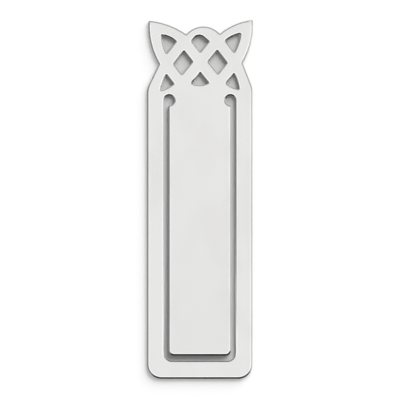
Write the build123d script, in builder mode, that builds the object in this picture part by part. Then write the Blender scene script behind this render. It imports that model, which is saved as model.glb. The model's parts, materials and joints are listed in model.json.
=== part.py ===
from build123d import *
import os
from math import radians, tan

os.makedirs("parts", exist_ok=True)

# Clip bookmark cut from one silver sheet. It lies flat: X across, Y along towards the knot, Z up.
# The origin is under the middle of its length and width.

# Sheet and frame
overall_length = 86.25  # bottom edge to the right ear's tip
frame_width = 25.1
sheet = 1.0  # thickness
rail_width = 4.03
bottom_bar = 4.21
foot_radius = 3.4  # outer bottom corners
bevel_width = 0.25  # polished bevel round the front edges
bevel_depth = 0.2
back_bevel = 0.1

# Page tongue and the slot round it
slot_width = 1.03
tip_gap = 1.3
window_corner = 1.9
tongue_corner = 1.4
tongue_bevel = 0.2  # polished on both sides, where pages slide
cheek_round = 0.3  # tongue's corners beside the keyholes
tip_lift = 0.4  # set of the tongue's tip above the frame
keyhole_radius = 1.23
neck_drop = 2.88  # shoulders down to the line where the tongue bends
seat_clearance = 0.02

# Knot head: places are across from the middle and up from the shoulders
head_height = 16.425  # shoulders to the right ear's tip
knot_lean = 1.15  # degrees to the right
knot_skew = 1.0  # degrees that its rows climb to the right
strand_width = 2.88
upper_across = 3.98
upper_rise = 11.37
middle_rise = 6.31
outer_across = 8.16
outer_rise = 5.91
lower_across = 4.33
lower_rise = 0.97
band_inset = 1.65  # outer strands' centrelines in from the outline
ear_inset = 1.965  # ear strands' centrelines below the right ear's tip
ear_cell_shift = 0.1  # openings in the ears, to the right
base_strand = 3.2  # strands round the lowest opening
base_sag = 1.9  # dip of the strand under it
root_drop = 2.02  # shoulders down to where the strands run into the rails
pierced_corner = 0.2

# Crown between the ears
crown_rise = 14.84
crown_shift = 0.55
crown_peak_across = -0.9
crown_peak_rise = 15.35
crown_radius = 1.5  # top of the opening under the crown
notch_band = 1.62  # upper crossings to the notches above them

# Knot outline
shoulder_radius = 5.0
waist_band = 1.82  # outer crossings to the waists
waist_shift = 0.1
ear_across = 12.42
ear_shift = 0.22
ear_drop = 0.2  # left ear's tip below the right's
ear_side_bulge = 0.8
ear_top_bulge = 0.65
tip_round = 0.3
notch_round = 0.2

half_width = frame_width / 2
bottom_y = -overall_length / 2
shoulder_y = overall_length / 2 - head_height
neck_y = shoulder_y - neck_drop
tongue_width = frame_width - 2 * (rail_width + slot_width)
tongue_tip_y = bottom_y + bottom_bar + tip_gap
window_width = tongue_width + 2 * slot_width
window_bottom_y = bottom_y + bottom_bar
keyhole_across = window_width / 2 - keyhole_radius
keyholes = [(-keyhole_across, neck_y), (keyhole_across, neck_y)]
neck_width = 2 * (keyhole_across - keyhole_radius)
neck = Vector(0, neck_y, sheet / 2)  # middle of the line where the tongue bends


def knot(across, rise):
    lean = rise * tan(radians(knot_lean))
    climb = across * tan(radians(knot_skew))
    return Vector(across + lean, shoulder_y + rise + climb)


# Crossings of the strands, and where their centrelines turn at the ears and run into the rails
sides = (-1, 1)
upper = {side: knot(side * upper_across, upper_rise) for side in sides}
outer = {side: knot(side * outer_across, outer_rise) for side in sides}
lower = {side: knot(side * lower_across, lower_rise) for side in sides}
middle = knot(0, middle_rise)
band_across = half_width - band_inset
ear = {side: knot(side * band_across + ear_cell_shift, head_height - ear_inset) for side in sides}
root = {side: knot(side * band_across, -root_drop) for side in sides}
crown_peak = knot(crown_peak_across, crown_peak_rise)

# Pierced openings: each is the cell between strand centrelines, drawn in by half a strand
with BuildSketch() as openings:
    with BuildLine(mode=Mode.PRIVATE):
        cells = []
        for side in sides:
            climbing = Line(outer[side], upper[side])
            falling = Line(upper[side], middle)
            crossing = Line(middle, lower[side])
            closing = Line(lower[side], outer[side])
            ear_top = TangentArc(upper[side], ear[side], tangent=upper[side] - middle)
            ear_side = TangentArc(outer[side], ear[side], tangent=outer[side] - lower[side])
            shoulder = TangentArc(outer[side], root[side], tangent=outer[side] - upper[side])
            base = TangentArc(lower[side], root[side], tangent=lower[side] - middle)
            cells.append((strand_width, [climbing, ear_top, ear_side]))
            cells.append((strand_width, [climbing, falling, crossing, closing]))
            cells.append((strand_width, [closing, shoulder, base]))
        crown_cell = Polyline(middle, upper[-1], crown_peak, upper[1], middle)
        sag = SagittaArc(lower[-1], lower[1], -base_sag)
        cells.append((strand_width, [crown_cell]))
        cells.append((base_strand, [Line(middle, lower[-1]), sag, Line(lower[1], middle)]))
    for strand, cell in cells:
        field = make_face([edge for span in cell for edge in span.edges()], mode=Mode.PRIVATE)
        offset(field, amount=-strand / 2, mode=Mode.ADD)
    fillet(openings.vertices().sort_by(Axis.Y)[:-1], pierced_corner)
    fillet(openings.vertices().sort_by(Axis.Y)[-1], crown_radius)

# Window for the tongue, which runs into a round keyhole on each side of the neck
with BuildSketch() as window:
    with Locations((0, (window_bottom_y + neck_y) / 2)):
        Rectangle(window_width, neck_y - window_bottom_y)
    fillet(window.vertices().group_by(Axis.Y)[0], window_corner)
    with Locations(*keyholes):
        Circle(keyhole_radius)

# Outline of the sheet: rails with rounded feet, waists, pointed ears, and notches beside the crown
tip = {
    -1: Vector(ear_shift - ear_across, shoulder_y + head_height - ear_drop),
    1: Vector(ear_shift + ear_across, shoulder_y + head_height),
}
waist = {side: outer[side] + Vector(side * waist_band + waist_shift, 0) for side in sides}
notch = {side: upper[side] + Vector(crown_shift, notch_band) for side in sides}
feet = [Vector(side * half_width, bottom_y) for side in sides]
shoulders = [Vector(side * half_width, shoulder_y) for side in sides]
with BuildSketch() as outline:
    with BuildLine():
        Polyline(waist[-1], shoulders[0], *feet, shoulders[1], waist[1])
        for side in sides:
            SagittaArc(waist[side], tip[side], -side * ear_side_bulge)
            SagittaArc(tip[side], notch[side], -side * ear_top_bulge)
        ThreePointArc(notch[-1], knot(crown_shift, crown_rise), notch[1])
    make_face()
    for corners, radius in (
        (feet, foot_radius),
        (shoulders, shoulder_radius),
        (tip.values(), tip_round),
        (waist.values(), notch_round),
        (notch.values(), notch_round),
    ):
        for corner in corners:
            fillet(outline.vertices().sort_by_distance(corner)[0], radius)

# Frame plate: knot head, rails and bottom bar, with a half-round seat across the neck
with BuildPart() as frame_plate:
    with BuildSketch():
        add(outline.sketch)
        add(openings.sketch, mode=Mode.SUBTRACT)
        add(window.sketch, mode=Mode.SUBTRACT)
    extrude(amount=sheet)
    back, front = frame_plate.faces().filter_by(Axis.Z).sort_by(Axis.Z)
    neck_edges = frame_plate.edges().filter_by(Axis.X).sort_by_distance(neck)[:2]
    chamfer(front.edges() - neck_edges, bevel_width, bevel_depth, reference=front)
    chamfer(back.edges() - neck_edges, back_bevel)
    with BuildSketch(Plane.YZ):
        with Locations((neck_y, sheet / 2)):
            Circle(sheet / 2 + seat_clearance)
    extrude(amount=tongue_width / 2, both=True, mode=Mode.SUBTRACT)
frame_plate.part.label = "frame_plate"
export_step(frame_plate.part, "parts/frame_plate.step")

# Page tongue: a strip that curves gently up to its tip, with a half-round root in the neck's seat
tongue_length = neck_y - tongue_tip_y
bend_radius = (tongue_length**2 + tip_lift**2) / (2 * tip_lift)
strip_reach = tongue_length + sheet  # past the tip, where the plan trims it
strip_height = sheet + 2 * tip_lift
with BuildPart() as page_tongue:
    with BuildSketch(Plane.YZ):
        with Locations((neck_y, sheet / 2 + bend_radius)):
            Circle(bend_radius + sheet / 2)
            Circle(bend_radius - sheet / 2, mode=Mode.SUBTRACT)
        with Locations((neck_y, 0)):
            Rectangle(strip_reach, strip_height, align=(Align.MAX, Align.MIN), mode=Mode.INTERSECT)
        with Locations((neck_y, sheet / 2)):
            Circle(sheet / 2)
    extrude(amount=tongue_width, both=True)
    with BuildSketch() as plan:
        with Locations((0, neck_y)):
            Rectangle(tongue_width, tongue_length, align=(Align.CENTER, Align.MAX))
        fillet(plan.vertices().group_by(Axis.Y)[0], tongue_corner)
        with Locations(*keyholes):
            Circle(keyhole_radius, mode=Mode.SUBTRACT)
        for keyhole in keyholes:
            fillet(plan.vertices().sort_by_distance((keyhole[0], neck_y - keyhole_radius))[0], cheek_round)
        with Locations((0, neck_y)):
            Rectangle(neck_width, sheet, align=(Align.CENTER, Align.MIN))
    extrude(amount=strip_height, mode=Mode.INTERSECT)
    cut_edges = page_tongue.edges().filter_by(Axis.Z, reverse=True)
    root_edges = cut_edges.filter_by(Axis.X).group_by(Axis.Y)[-1]
    chamfer(cut_edges - root_edges, tongue_bevel)
page_tongue.part.label = "page_tongue"
export_step(page_tongue.part, "parts/page_tongue.step")
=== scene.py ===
import json
from math import cos, radians, sin

import bmesh
import bpy
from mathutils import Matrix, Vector


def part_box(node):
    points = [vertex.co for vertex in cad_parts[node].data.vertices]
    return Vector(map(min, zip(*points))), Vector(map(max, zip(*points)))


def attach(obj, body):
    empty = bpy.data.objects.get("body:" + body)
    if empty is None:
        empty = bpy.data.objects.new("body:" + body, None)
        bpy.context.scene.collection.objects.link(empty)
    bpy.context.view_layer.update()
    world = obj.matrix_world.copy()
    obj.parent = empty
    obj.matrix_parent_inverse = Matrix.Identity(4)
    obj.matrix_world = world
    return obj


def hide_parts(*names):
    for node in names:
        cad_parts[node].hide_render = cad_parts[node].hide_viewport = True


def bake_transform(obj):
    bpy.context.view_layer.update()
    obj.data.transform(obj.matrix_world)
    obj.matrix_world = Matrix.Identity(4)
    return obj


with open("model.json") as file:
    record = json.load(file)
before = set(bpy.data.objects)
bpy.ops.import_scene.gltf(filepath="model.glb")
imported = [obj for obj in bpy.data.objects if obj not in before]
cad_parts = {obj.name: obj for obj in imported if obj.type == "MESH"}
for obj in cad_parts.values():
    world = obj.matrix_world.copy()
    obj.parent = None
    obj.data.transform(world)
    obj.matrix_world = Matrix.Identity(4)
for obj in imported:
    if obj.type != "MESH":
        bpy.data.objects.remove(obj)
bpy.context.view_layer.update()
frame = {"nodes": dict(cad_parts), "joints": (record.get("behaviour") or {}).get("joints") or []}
mm = 0.001
hinge = Vector(frame["joints"][0]["pos_m"])  # line across the neck where the tongue bends
print("bookmark loaded:", sorted(frame["nodes"]))


class Value:  # one socket; sums on it add Math nodes to its tree
    def __init__(self, graph, socket):
        self.graph = graph
        self.socket = socket

    def also(self, name):  # another output of the same node
        return Value(self.graph, self.socket.node.outputs[name])

    def sum(self, operation, *terms):
        return self.graph.add("ShaderNodeMath", {"operation": operation}, dict(enumerate(terms)))

    def __add__(self, other):
        return self.sum("ADD", self, other)

    def __radd__(self, other):
        return self.sum("ADD", other, self)

    def __sub__(self, other):
        return self.sum("SUBTRACT", self, other)

    def __rsub__(self, other):
        return self.sum("SUBTRACT", other, self)

    def __mul__(self, other):
        return self.sum("MULTIPLY", self, other)

    def __rmul__(self, other):
        return self.sum("MULTIPLY", other, self)

    def __truediv__(self, other):
        return self.sum("DIVIDE", self, other)

    def __rtruediv__(self, other):
        return self.sum("DIVIDE", other, self)

    def __abs__(self):
        return self.sum("ABSOLUTE", self)

    def atLeast(self, other):
        return self.sum("MAXIMUM", self, other)

    def atMost(self, other):
        return self.sum("MINIMUM", self, other)

    def over(self, other):  # 1 where it is greater
        return self.sum("GREATER_THAN", self, other)

    def sign(self):
        return self.sum("SIGN", self)

    def root(self):
        return self.sum("SQRT", self.atLeast(0))

    def cosine(self):
        return self.sum("COSINE", self)

    def angle(self, other):  # of a rise of this on a run of the other
        return self.sum("ARCTAN2", self, other)


class Graph:  # a node tree that is filled from the script
    def __init__(self, tree):
        self.tree = tree

    def add(self, kind, settings=None, sockets=None, output=0):
        node = self.tree.nodes.new(kind)
        for name, value in (settings or {}).items():
            setattr(node, name, value)
        for name, value in (sockets or {}).items():
            self.feed(node.inputs[name], value)
        return Value(self, node.outputs[output]) if node.outputs else node

    def feed(self, socket, value):
        if isinstance(value, Value):
            self.tree.links.new(value.socket, socket)
        else:
            socket.default_value = value

    def ease(self, value, start, end):  # 0 before start, 1 after end
        return self.add("ShaderNodeMapRange", {"interpolation_type": "SMOOTHSTEP"},
                        {"Value": value, "From Min": start, "From Max": end})

    def blend(self, share, first, second):  # two colours
        return self.add("ShaderNodeMix", {"data_type": "RGBA"}, {0: share, 6: first, 7: second}, 2)

    def grain(self, place, size, turn=0, detail=2.0):  # noise whose marks have this size
        spread = self.add("ShaderNodeMapping", {"vector_type": "TEXTURE"},
                          {"Vector": place, "Rotation": (0, 0, radians(turn)), "Scale": size})
        return self.add("ShaderNodeTexNoise", {}, {"Vector": spread, "Scale": 1.0, "Detail": detail})


# camera above, leaning a little to the foot
cameraLook = {
    "across": 95.24 * mm,
    "aim": (0.048 * mm, -0.212 * mm, 1.0 * mm),
    "lean": 8,
    "away": 0.5,
    "sight": 4,  # how far it sees
}


def placeCamera(look):
    camera = bpy.data.objects.new("camera", bpy.data.cameras.new("camera"))
    camera.data.type = "ORTHO"
    camera.data.ortho_scale = look["across"]
    camera.data.clip_end = look["sight"]
    lean = radians(look["lean"])
    camera.location = Vector(look["aim"]) + look["away"] * Vector((0, -sin(lean), cos(lean)))
    camera.rotation_euler = (lean, 0, 0)
    bpy.context.scene.collection.objects.link(camera)
    bpy.context.scene.camera = camera


placeCamera(cameraLook)
print("camera placed")

silver = {
    "face": (0.93, 0.928, 0.922, 1),
    "worn": (0.9, 0.895, 0.884, 1),  # where fingers have dulled it
    "sawnWallShade": (0.3, 0.298, 0.29, 1),  # sawn walls of the slot and openings, also coloured dark as painted shade
    "wallEnd": (0.25, 0.6),  # upright part of the normal, from wall to bevel
    "bevelStart": (0.6, 0.7),
    "bevelEnd": (0.86, 0.95),
    "faceRough": 0.17,
    "wornRough": 0.07,
    "wallRough": 0.28,  # added to the face's
    "burnish": 0.07,  # taken off on the bevels
    "polishRough": 0.08,
    "scratchRough": 0.06,
    "polishMark": (0.04 * mm, 6 * mm, 0.04 * mm),
    "crossMark": (0.05 * mm, 3 * mm, 0.05 * mm),
    "crossTurn": 38,
    "cloud": (9 * mm, 14 * mm, 9 * mm),
    "cloudTurn": 12,
    "cloudDetail": 3.0,
    "cloudEdge": (0.42, 0.68),
    "sawMark": (0.06 * mm, 0.06 * mm, 1.5 * mm),
    "scratch": (2.2 * mm, 9 * mm, 5 * mm),
    "scratchTurn": -24,
    "scratchDetail": 1.0,
    "scratchEdge": (0.0008, 0.0022),
    "crossHeight": 0.5,  # against 1 for the polish lines
    "scratchDepth": 0.8,
    "sawHeight": 3,
    "bump": 0.6,
    "bumpHeight": 0.001 * mm,
}


def makeSilver(look):
    material = bpy.data.materials.new("polishedSilver")
    material.use_nodes = True
    graph = Graph(material.node_tree)
    shader = material.node_tree.nodes["Principled BSDF"]
    shader.inputs["Metallic"].default_value = 1
    normal = graph.add("ShaderNodeTexCoord", output="Normal")
    place = normal.also("Object")
    upright = abs(graph.add("ShaderNodeSeparateXYZ", {}, {0: normal}, "Z"))
    sawnWallShade = 1 - graph.ease(upright, *look["wallEnd"])
    bevel = graph.ease(upright, *look["bevelStart"]) * (1 - graph.ease(upright, *look["bevelEnd"]))
    cloud = graph.grain(place, look["cloud"], look["cloudTurn"], look["cloudDetail"])
    worn = graph.ease(cloud, *look["cloudEdge"])
    polish = graph.grain(place, look["polishMark"])
    cross = graph.grain(place, look["crossMark"], look["crossTurn"])
    saw = graph.grain(place, look["sawMark"])
    level = graph.grain(place, look["scratch"], look["scratchTurn"], look["scratchDetail"])
    line = abs(level - 0.5)  # a scratch follows the noise's middle level
    scratch = (1 - graph.ease(line, *look["scratchEdge"])) * (1 - sawnWallShade)
    face = graph.blend(worn, look["face"], look["worn"])
    # painted shade: the walls take a dark colour, which draws the edges of the openings dark
    graph.feed(shader.inputs["Base Color"], graph.blend(sawnWallShade, face, look["sawnWallShade"]))
    rough = look["faceRough"] + worn * look["wornRough"] + sawnWallShade * look["wallRough"]
    rough = rough - bevel * look["burnish"]
    rough = rough + (polish - 0.5) * look["polishRough"] + scratch * look["scratchRough"]
    graph.feed(shader.inputs["Roughness"], rough)
    onFace = polish + cross * look["crossHeight"] - scratch * look["scratchDepth"]
    height = (1 - sawnWallShade) * onFace + sawnWallShade * saw * look["sawHeight"]
    bump = graph.add("ShaderNodeBump", {},
                     {"Strength": look["bump"], "Distance": look["bumpHeight"], "Height": height})
    graph.feed(shader.inputs["Normal"], bump)
    return material


silverSheet = makeSilver(silver)
print("silver made")

edgeFinish = {"rimWidth": 0.2 * mm, "rimDrop": 0.03 * mm}  # softer polish inside the bevels
frameFinish = {
    "bevelZone": 0.3 * mm,  # below the top, with the whole bevel in it
    "bevelSlope": 0.8,
    "outerGrowth": 0.09 * mm,  # wider polish round the outside
    "weld": 0.002 * mm,
    "cornerWeld": 0.4 * mm,  # where the lines of the rim cross in a sharp corner
    "seatReach": 0.7 * mm,
    "seatHalf": 6.5 * mm,
    "joinAngle": 0.5,  # packed triangles as level as this become one face
    "level": 0.9999,  # upright part of the normal on the flat
    "turnedOver": 0.5,  # and on a face of the rim that has crossed lines
    "crease": 28,
}


def walkFrom(start, allowed):  # all of these points that edges join to the start
    found = set()
    ahead = [start]
    while ahead:
        point = ahead.pop()
        if point not in found:
            found.add(point)
            near = [seam.other_vert(point) for seam in point.link_edges]
            ahead += [other for other in near if other in allowed]
    return found


def makeFrame(edge, look):
    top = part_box("frame_plate")[1].z
    sheet = bmesh.new()
    sheet.from_mesh(frame["nodes"]["frame_plate"].data)
    bmesh.ops.remove_doubles(sheet, verts=sheet.verts, dist=look["weld"])
    bmesh.ops.dissolve_limit(sheet, angle_limit=radians(look["joinAngle"]),
                             verts=sheet.verts, edges=sheet.edges)
    level = [face for face in sheet.faces if face.normal.z > look["level"]]
    front = [face for face in level if face.verts[0].co.z > top - look["weld"]]
    drawn = look["outerGrowth"] + edge["rimWidth"]
    rim = bmesh.ops.inset_region(sheet, faces=front, thickness=drawn,
                                 use_boundary=True, use_even_offset=True)["faces"]
    flat = {point for face in front for point in face.verts}
    bevel = {point for point in sheet.verts if point.co.z > top - look["bevelZone"]} - flat
    outer = walkFrom(min(bevel, key=lambda point: point.co.y), bevel)  # from the foot round the outside
    lip = set()  # top line of the outer bevel, which is polished wider
    seams = dict.fromkeys(seam for face in rim for seam in face.edges)  # each once, in order
    for rung in [seam for seam in seams if len(flat.intersection(seam.verts)) == 1]:
        low, high = sorted(rung.verts, key=lambda point: point in flat)
        if low in outer:
            lip.add(bmesh.utils.edge_split(rung, low, look["outerGrowth"] / drawn)[1])
        else:
            high.co = low.co.lerp(high.co, edge["rimWidth"] / drawn)
    for face in rim:
        pair = [point for point in face.verts if point in lip]
        if len(pair) == 2:
            bmesh.utils.face_split(face, *pair)
    outerDrop = look["outerGrowth"] * look["bevelSlope"]
    for point in bevel | lip:  # lowered, but not at the neck's seat
        inSeat = abs(point.co.x) < look["seatHalf"] and abs(point.co.y - hinge.y) < look["seatReach"]
        if not inSeat:
            point.co.z -= edge["rimDrop"] + (outerDrop if point in outer else 0)
    sheet.normal_update()
    steep = {face for face in sheet.faces if face.normal.z < look["turnedOver"]}
    crossed = [point for point in sheet.verts if steep.intersection(point.link_faces)]
    for points in [[point for point in crossed if point in line] for line in (lip, flat)]:
        bmesh.ops.remove_doubles(sheet, verts=points, dist=look["cornerWeld"])
    sheet.normal_update()
    for face in sheet.faces:
        face.smooth = True
    for seam in sheet.edges:
        onFlat = any(face.normal.z > look["level"] for face in seam.link_faces)
        seam.smooth = not onFlat and seam.calc_face_angle(0) < radians(look["crease"])
    mesh = bpy.data.meshes.new("framePlate")
    sheet.to_mesh(mesh)
    sheet.free()
    mesh.materials.append(silverSheet)
    plate = bpy.data.objects.new("framePlate", mesh)
    bpy.context.scene.collection.objects.link(plate)
    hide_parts("frame_plate")
    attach(plate, "frame")
    return plate


framePlate = makeFrame(edgeFinish, frameFinish)
print("frame plate finished:", len(framePlate.data.polygons), "faces")

tongueStrip = {
    "tipCorner": 1.4 * mm,
    "keyhole": 1.23 * mm,
    "keyholeAcross": 7.29 * mm,
    "cheek": 0.3 * mm,  # rounding beside the keyholes
    "bevelWidth": 0.34 * mm,
    "bevelDepth": 0.26 * mm,
    "rootSwell": 0.03 * mm,  # fills its seat, so that the neck shows no seam
    "proud": 0.0005 * mm,  # stands over the plate by this, for the same reason
    "weld": 0.0002 * mm,
    "level": 0.995,  # upright part of the normal on the flat
    "crease": 14,
    "rows": 400,
}


def tongueTree():
    tree = bpy.data.node_groups.new("tongueStrip", "GeometryNodeTree")
    sizes = ("Width", "Thickness", "Start", "Seat", "Neck", "Tip", "Lift", "Proud", "Tip Corner",
             "Keyhole", "Keyhole Across", "Cheek", "Bevel Width", "Bevel Depth", "Rim Width", "Rim Drop",
             "Weld", "Level", "Crease")
    for name in sizes:
        tree.interface.new_socket(name, in_out="INPUT", socket_type="NodeSocketFloat")
    tree.interface.new_socket("Rows", in_out="INPUT", socket_type="NodeSocketInt")
    tree.interface.new_socket("Silver", in_out="INPUT", socket_type="NodeSocketMaterial")
    tree.interface.new_socket("Geometry", in_out="OUTPUT", socket_type="NodeSocketGeometry")
    graph = Graph(tree)
    add = graph.add
    given = add("NodeGroupInput").also
    halfWidth = given("Width") / 2
    halfThick = given("Thickness") / 2
    neck, tip = given("Neck"), given("Tip")
    bevelWidth, bevelDepth = given("Bevel Width"), given("Bevel Depth")
    rimWidth, rimDrop = given("Rim Width"), given("Rim Drop")

    def spot():  # place of a point
        x = add("ShaderNodeSeparateXYZ", {}, {0: add("GeometryNodeInputPosition")}, "X")
        return x, x.also("Y"), x.also("Z")

    def move(geometry, x, y, z):
        place = add("ShaderNodeCombineXYZ", {}, {0: x, 1: y, 2: z})
        return add("GeometryNodeSetPosition", {}, {"Geometry": geometry, "Position": place})

    def arc(radius, offset):  # half chord of a circle
        return (radius * radius - offset * offset).root()

    # section: a ring drawn out to a strip; each quarter has a bevel in parts and a rim
    bevelParts = 3
    quarter = bevelParts + 2  # points in a quarter of the ring
    step = radians(90 / quarter)
    ring = add("GeometryNodeCurvePrimitiveCircle", {}, {"Resolution": 4 * quarter, "Radius": 1.0})
    ring = add("GeometryNodeTransform", {}, {"Geometry": ring, "Rotation": (0, 0, step / 2)})
    x, y = spot()[:2]
    place = abs(y).angle(abs(x)) / step - 0.5  # 0 on the flank, then one more at each point
    upBevel = (place / bevelParts).atMost(1)
    onRim = (place - bevelParts).atLeast(0)
    inset = upBevel * bevelWidth + onRim * rimWidth
    drop = (1 - upBevel) * bevelDepth + (1 - onRim) * rimDrop
    section = move(ring, x.sign() * (halfWidth - inset), y.sign() * (halfThick - drop), 0.0)

    # path from the neck to the tip, with its rows close together at both ends
    closing = 2  # rows past the tip, which close it
    apart = 1 * mm  # between those, until they are placed
    start = given("Start")
    path = add("GeometryNodeCurvePrimitiveLine", {}, {"End": (0, -1, 0)})
    path = add("GeometryNodeResampleCurve", {}, {"Curve": path, "Count": given("Rows")})
    row = add("GeometryNodeInputIndex")
    tipRow = given("Rows") - (closing + 1)
    eased = 0.5 - 0.5 * ((row / tipRow).atMost(1) * radians(180)).cosine()
    path = move(path, 0.0, start + (tip - start) * eased - (row - tipRow).atLeast(0) * apart, 0.0)
    strip = add("GeometryNodeCurveToMesh", {},
                {"Curve": path, "Profile Curve": section, "Fill Caps": True})

    # plan of each line of the edge: scallop and cheek at the neck, round corner at the tip
    x, y, z = spot()
    keyhole, cheek, corner = given("Keyhole"), given("Cheek"), given("Tip Corner")
    below = neck - y
    ahead = y - tip
    past = (0 - ahead).atLeast(0) / apart  # 1 and 2 on the closing rows
    inset = (halfWidth - abs(x)).atMost((closing - past) * bevelWidth)
    turned = (1 - ahead / corner).atLeast(0).atMost(1)  # sine of the turn round the corner
    along = y.atLeast(tip) + inset * turned
    across = given("Keyhole Across")
    scallop = across - arc(keyhole + inset, below) + below.over(keyhole + inset) * given("Width")
    cheekPlace = arc(keyhole + cheek, halfWidth - cheek - across)
    cheekLine = halfWidth - cheek + arc((cheek - inset).atLeast(0), (cheekPlace - below).atLeast(0))
    tipLine = halfWidth - corner + (corner - inset) * arc(1, turned)
    side = scallop.atMost(cheekLine).atMost(tipLine)

    # half-round root, rim and bevel across the tip, and the gentle set that lifts it
    rootThick = arc(given("Seat"), below) + below.over(0) * halfThick
    tipThick = halfThick - past.over(0.5) * rimDrop - past.over(1.5) * bevelDepth
    thick = abs(z).atMost(tipThick).atMost(rootThick)
    reach = (neck - along).atLeast(0) / (neck - tip)
    rise = halfThick + given("Proud") + given("Lift") * reach * reach
    strip = move(strip, x.sign() * side, along, rise + z.sign() * thick)
    strip = add("GeometryNodeMergeByDistance", {}, {"Geometry": strip, "Distance": given("Weld")})

    # the flat is shaded flat, and creases stay sharp
    upright = abs(add("ShaderNodeSeparateXYZ", {}, {0: add("GeometryNodeInputNormal")}, "Z"))
    strip = add("GeometryNodeSetShadeSmooth", {},
                {"Geometry": strip, "Shade Smooth": 1 - upright.over(given("Level"))})
    crease = add("GeometryNodeInputMeshEdgeAngle").over(given("Crease"))
    strip = add("GeometryNodeSetShadeSmooth", {"domain": "EDGE"},
                {"Geometry": strip, "Selection": crease, "Shade Smooth": False})
    strip = add("GeometryNodeRealizeInstances", {}, {"Geometry": strip})
    strip = add("GeometryNodeSetMaterial", {}, {"Geometry": strip, "Material": given("Silver")})
    add("NodeGroupOutput", {}, {"Geometry": strip})
    return tree


def makeTongue(edge, look):
    low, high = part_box("page_tongue")
    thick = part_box("frame_plate")[1].z
    sizes = {
        "Width": high.x - low.x,
        "Thickness": thick,
        "Start": hinge.y + thick / 2,
        "Seat": thick / 2 + look["rootSwell"],
        "Neck": hinge.y,
        "Tip": low.y,
        "Lift": high.z - thick,
        "Proud": look["proud"],
        "Tip Corner": look["tipCorner"],
        "Keyhole": look["keyhole"],
        "Keyhole Across": look["keyholeAcross"],
        "Cheek": look["cheek"],
        "Bevel Width": look["bevelWidth"],
        "Bevel Depth": look["bevelDepth"],
        "Rim Width": edge["rimWidth"],
        "Rim Drop": edge["rimDrop"],
        "Weld": look["weld"],
        "Level": look["level"],
        "Crease": radians(look["crease"]),
        "Rows": look["rows"],
        "Silver": silverSheet,
    }
    tree = tongueTree()
    tongue = bpy.data.objects.new("pageTongue", bpy.data.meshes.new("pageTongue"))
    bpy.context.scene.collection.objects.link(tongue)
    strip = tongue.modifiers.new("strip", "NODES")
    strip.node_group = tree
    for socket in tree.interface.items_tree:
        if socket.in_out == "INPUT":
            strip[socket.identifier] = sizes[socket.name]
    made = bpy.data.meshes.new_from_object(tongue.evaluated_get(bpy.context.evaluated_depsgraph_get()))
    tongue.modifiers.clear()
    tongue.data = made
    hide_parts("page_tongue")
    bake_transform(tongue)
    return tongue


tongue = makeTongue(edgeFinish, tongueStrip)
print("page tongue made:", len(tongue.data.polygons), "faces")

paleFloor = {
    "size": 3.0,
    "white": (0.93, 0.93, 0.93, 1),
    "shade": (0.64, 0.64, 0.64, 1),  # painted shade: darker ground under the bookmark, seen through its openings
    "shadeHalf": (9.5 * mm, 39.7 * mm),
    "shadeSoft": 0.2 * mm,
    "backdrop": 0.25,  # share of plain white in the open floor
}


def layFloor(look):
    half = look["size"] / 2
    mesh = bpy.data.meshes.new("floor")
    corners = [(-half, -half, 0), (half, -half, 0), (half, half, 0), (-half, half, 0)]
    mesh.from_pydata(corners, [], [(0, 1, 2, 3)])
    floor = bpy.data.objects.new("floor", mesh)
    bpy.context.scene.collection.objects.link(floor)
    material = bpy.data.materials.new("paleFloor")
    material.use_nodes = True
    graph = Graph(material.node_tree)
    shader = material.node_tree.nodes["Principled BSDF"]
    shader.inputs["Roughness"].default_value = 1
    shader.inputs["Specular IOR Level"].default_value = 0
    place = graph.add("ShaderNodeTexCoord", output="Object")
    x = graph.add("ShaderNodeSeparateXYZ", {}, {0: place}, "X")
    soft = look["shadeSoft"]
    outX = graph.ease(abs(x) - look["shadeHalf"][0], -soft, soft)
    outY = graph.ease(abs(x.also("Y")) - look["shadeHalf"][1], -soft, soft)
    clear = outX.atLeast(outY)
    # painted shade: the floor under the bookmark is greyer than the open floor
    graph.feed(shader.inputs["Base Color"], graph.blend(clear, look["shade"], look["white"]))
    seen = graph.add("ShaderNodeLightPath", output="Is Camera Ray")
    seen = (seen + seen.also("Is Glossy Ray")).atMost(1)
    glow = graph.add("ShaderNodeEmission", {}, {"Strength": 1.0, "Color": (1, 1, 1, 1)})
    body = Value(graph, shader.outputs[0])
    mixed = graph.add("ShaderNodeMixShader", {}, {0: clear * seen * look["backdrop"], 1: body, 2: glow})
    graph.feed(material.node_tree.nodes["Material Output"].inputs["Surface"], mixed)
    mesh.materials.append(material)


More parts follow.
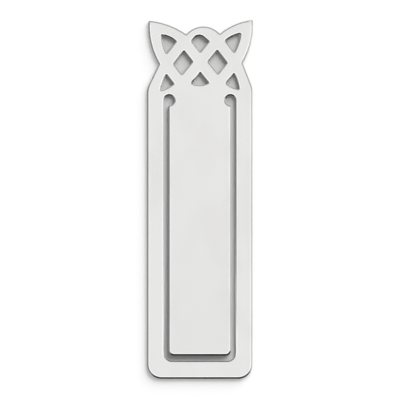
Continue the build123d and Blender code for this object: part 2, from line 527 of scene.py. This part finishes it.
studio = {
    "ambient": 0.4,
    "key": 6.2,
    "keySpread": 70,
    "keyHeight": 20,
    "keyTurn": 55,
    # what the silver mirrors; a pair says over which directions a tone comes in
    "overhead": 0.9,
    "overheadFrom": (0.965, 0.99),
    "ring": 1.12,
    "ringFrom": (0.65, 0.85),
    "middle": 0.75,
    "middleFrom": (0.5, 0.65),
    "left": 0.25,
    "right": 0.62,
    "leftToRight": (-0.5, 0.5),
    "front": 0.5,
    "frontToSide": (-0.9, -0.5),
    "behind": 0.5,
    "sideToBehind": (0.2, 0.8),
    "dim": 0.22,  # taken off just behind the overhead light
    "dimFrom": (0.14, 0.22),
    "flag": 0.98,  # dark strip in front, which draws the edges
    "flagTurn": 20,  # to the right
    "flagFoot": (0.27, 0.31),
    "flagHead": (0.44, 0.52),
    "flagEnd": (-0.5, -0.2),
}


def lightStudio(look, lean):
    scene = bpy.context.scene
    scene.view_settings.view_transform = "Standard"
    key = bpy.data.objects.new("key", bpy.data.lights.new("key", "SUN"))
    key.data.energy = look["key"]
    key.data.angle = radians(look["keySpread"])
    key.rotation_euler = (0, radians(90 - look["keyHeight"]), radians(look["keyTurn"]))
    key.visible_glossy = False
    scene.collection.objects.link(key)
    world = bpy.data.worlds.new("studio")
    world.use_nodes = True
    scene.world = world
    graph = Graph(world.node_tree)
    way = graph.add("ShaderNodeTexCoord", output="Generated")
    x = graph.add("ShaderNodeSeparateXYZ", {}, {0: way}, "X")
    y, z = x.also("Y"), x.also("Z")
    facing = y * sin(radians(lean)) + z * cos(radians(lean))  # 1 where the flat silver looks
    side = look["left"] + (look["right"] - look["left"]) * graph.ease(x, *look["leftToRight"])
    low = look["front"] + (side - look["front"]) * graph.ease(y, *look["frontToSide"])
    low = low + (look["behind"] - side) * graph.ease(y, *look["sideToBehind"])
    turn = radians(look["flagTurn"])
    inFront = 1 - graph.ease(y * cos(turn) - x * sin(turn), *look["flagEnd"])
    flag = graph.ease(z, *look["flagFoot"]) * (1 - graph.ease(z, *look["flagHead"])) * inFront
    tone = low * (1 - look["flag"] * flag)
    for name in ("middle", "ring", "overhead"):  # from low to high
        tone = tone + (look[name] - tone) * graph.ease(facing, *look[name + "From"])
    tone = tone * (1 - look["dim"] * graph.ease(y, *look["dimFrom"]))
    camera = graph.add("ShaderNodeLightPath", output="Is Camera Ray")
    glossy = camera.also("Is Glossy Ray")
    light = look["ambient"] + glossy * (tone - look["ambient"])
    background = world.node_tree.nodes["Background"]
    background.inputs["Color"].default_value = (1, 1, 1, 1)
    graph.feed(background.inputs["Strength"], light + camera * (1 - light))


layFloor(paleFloor)
lightStudio(studio, cameraLook["lean"])
print("floor and studio light made")
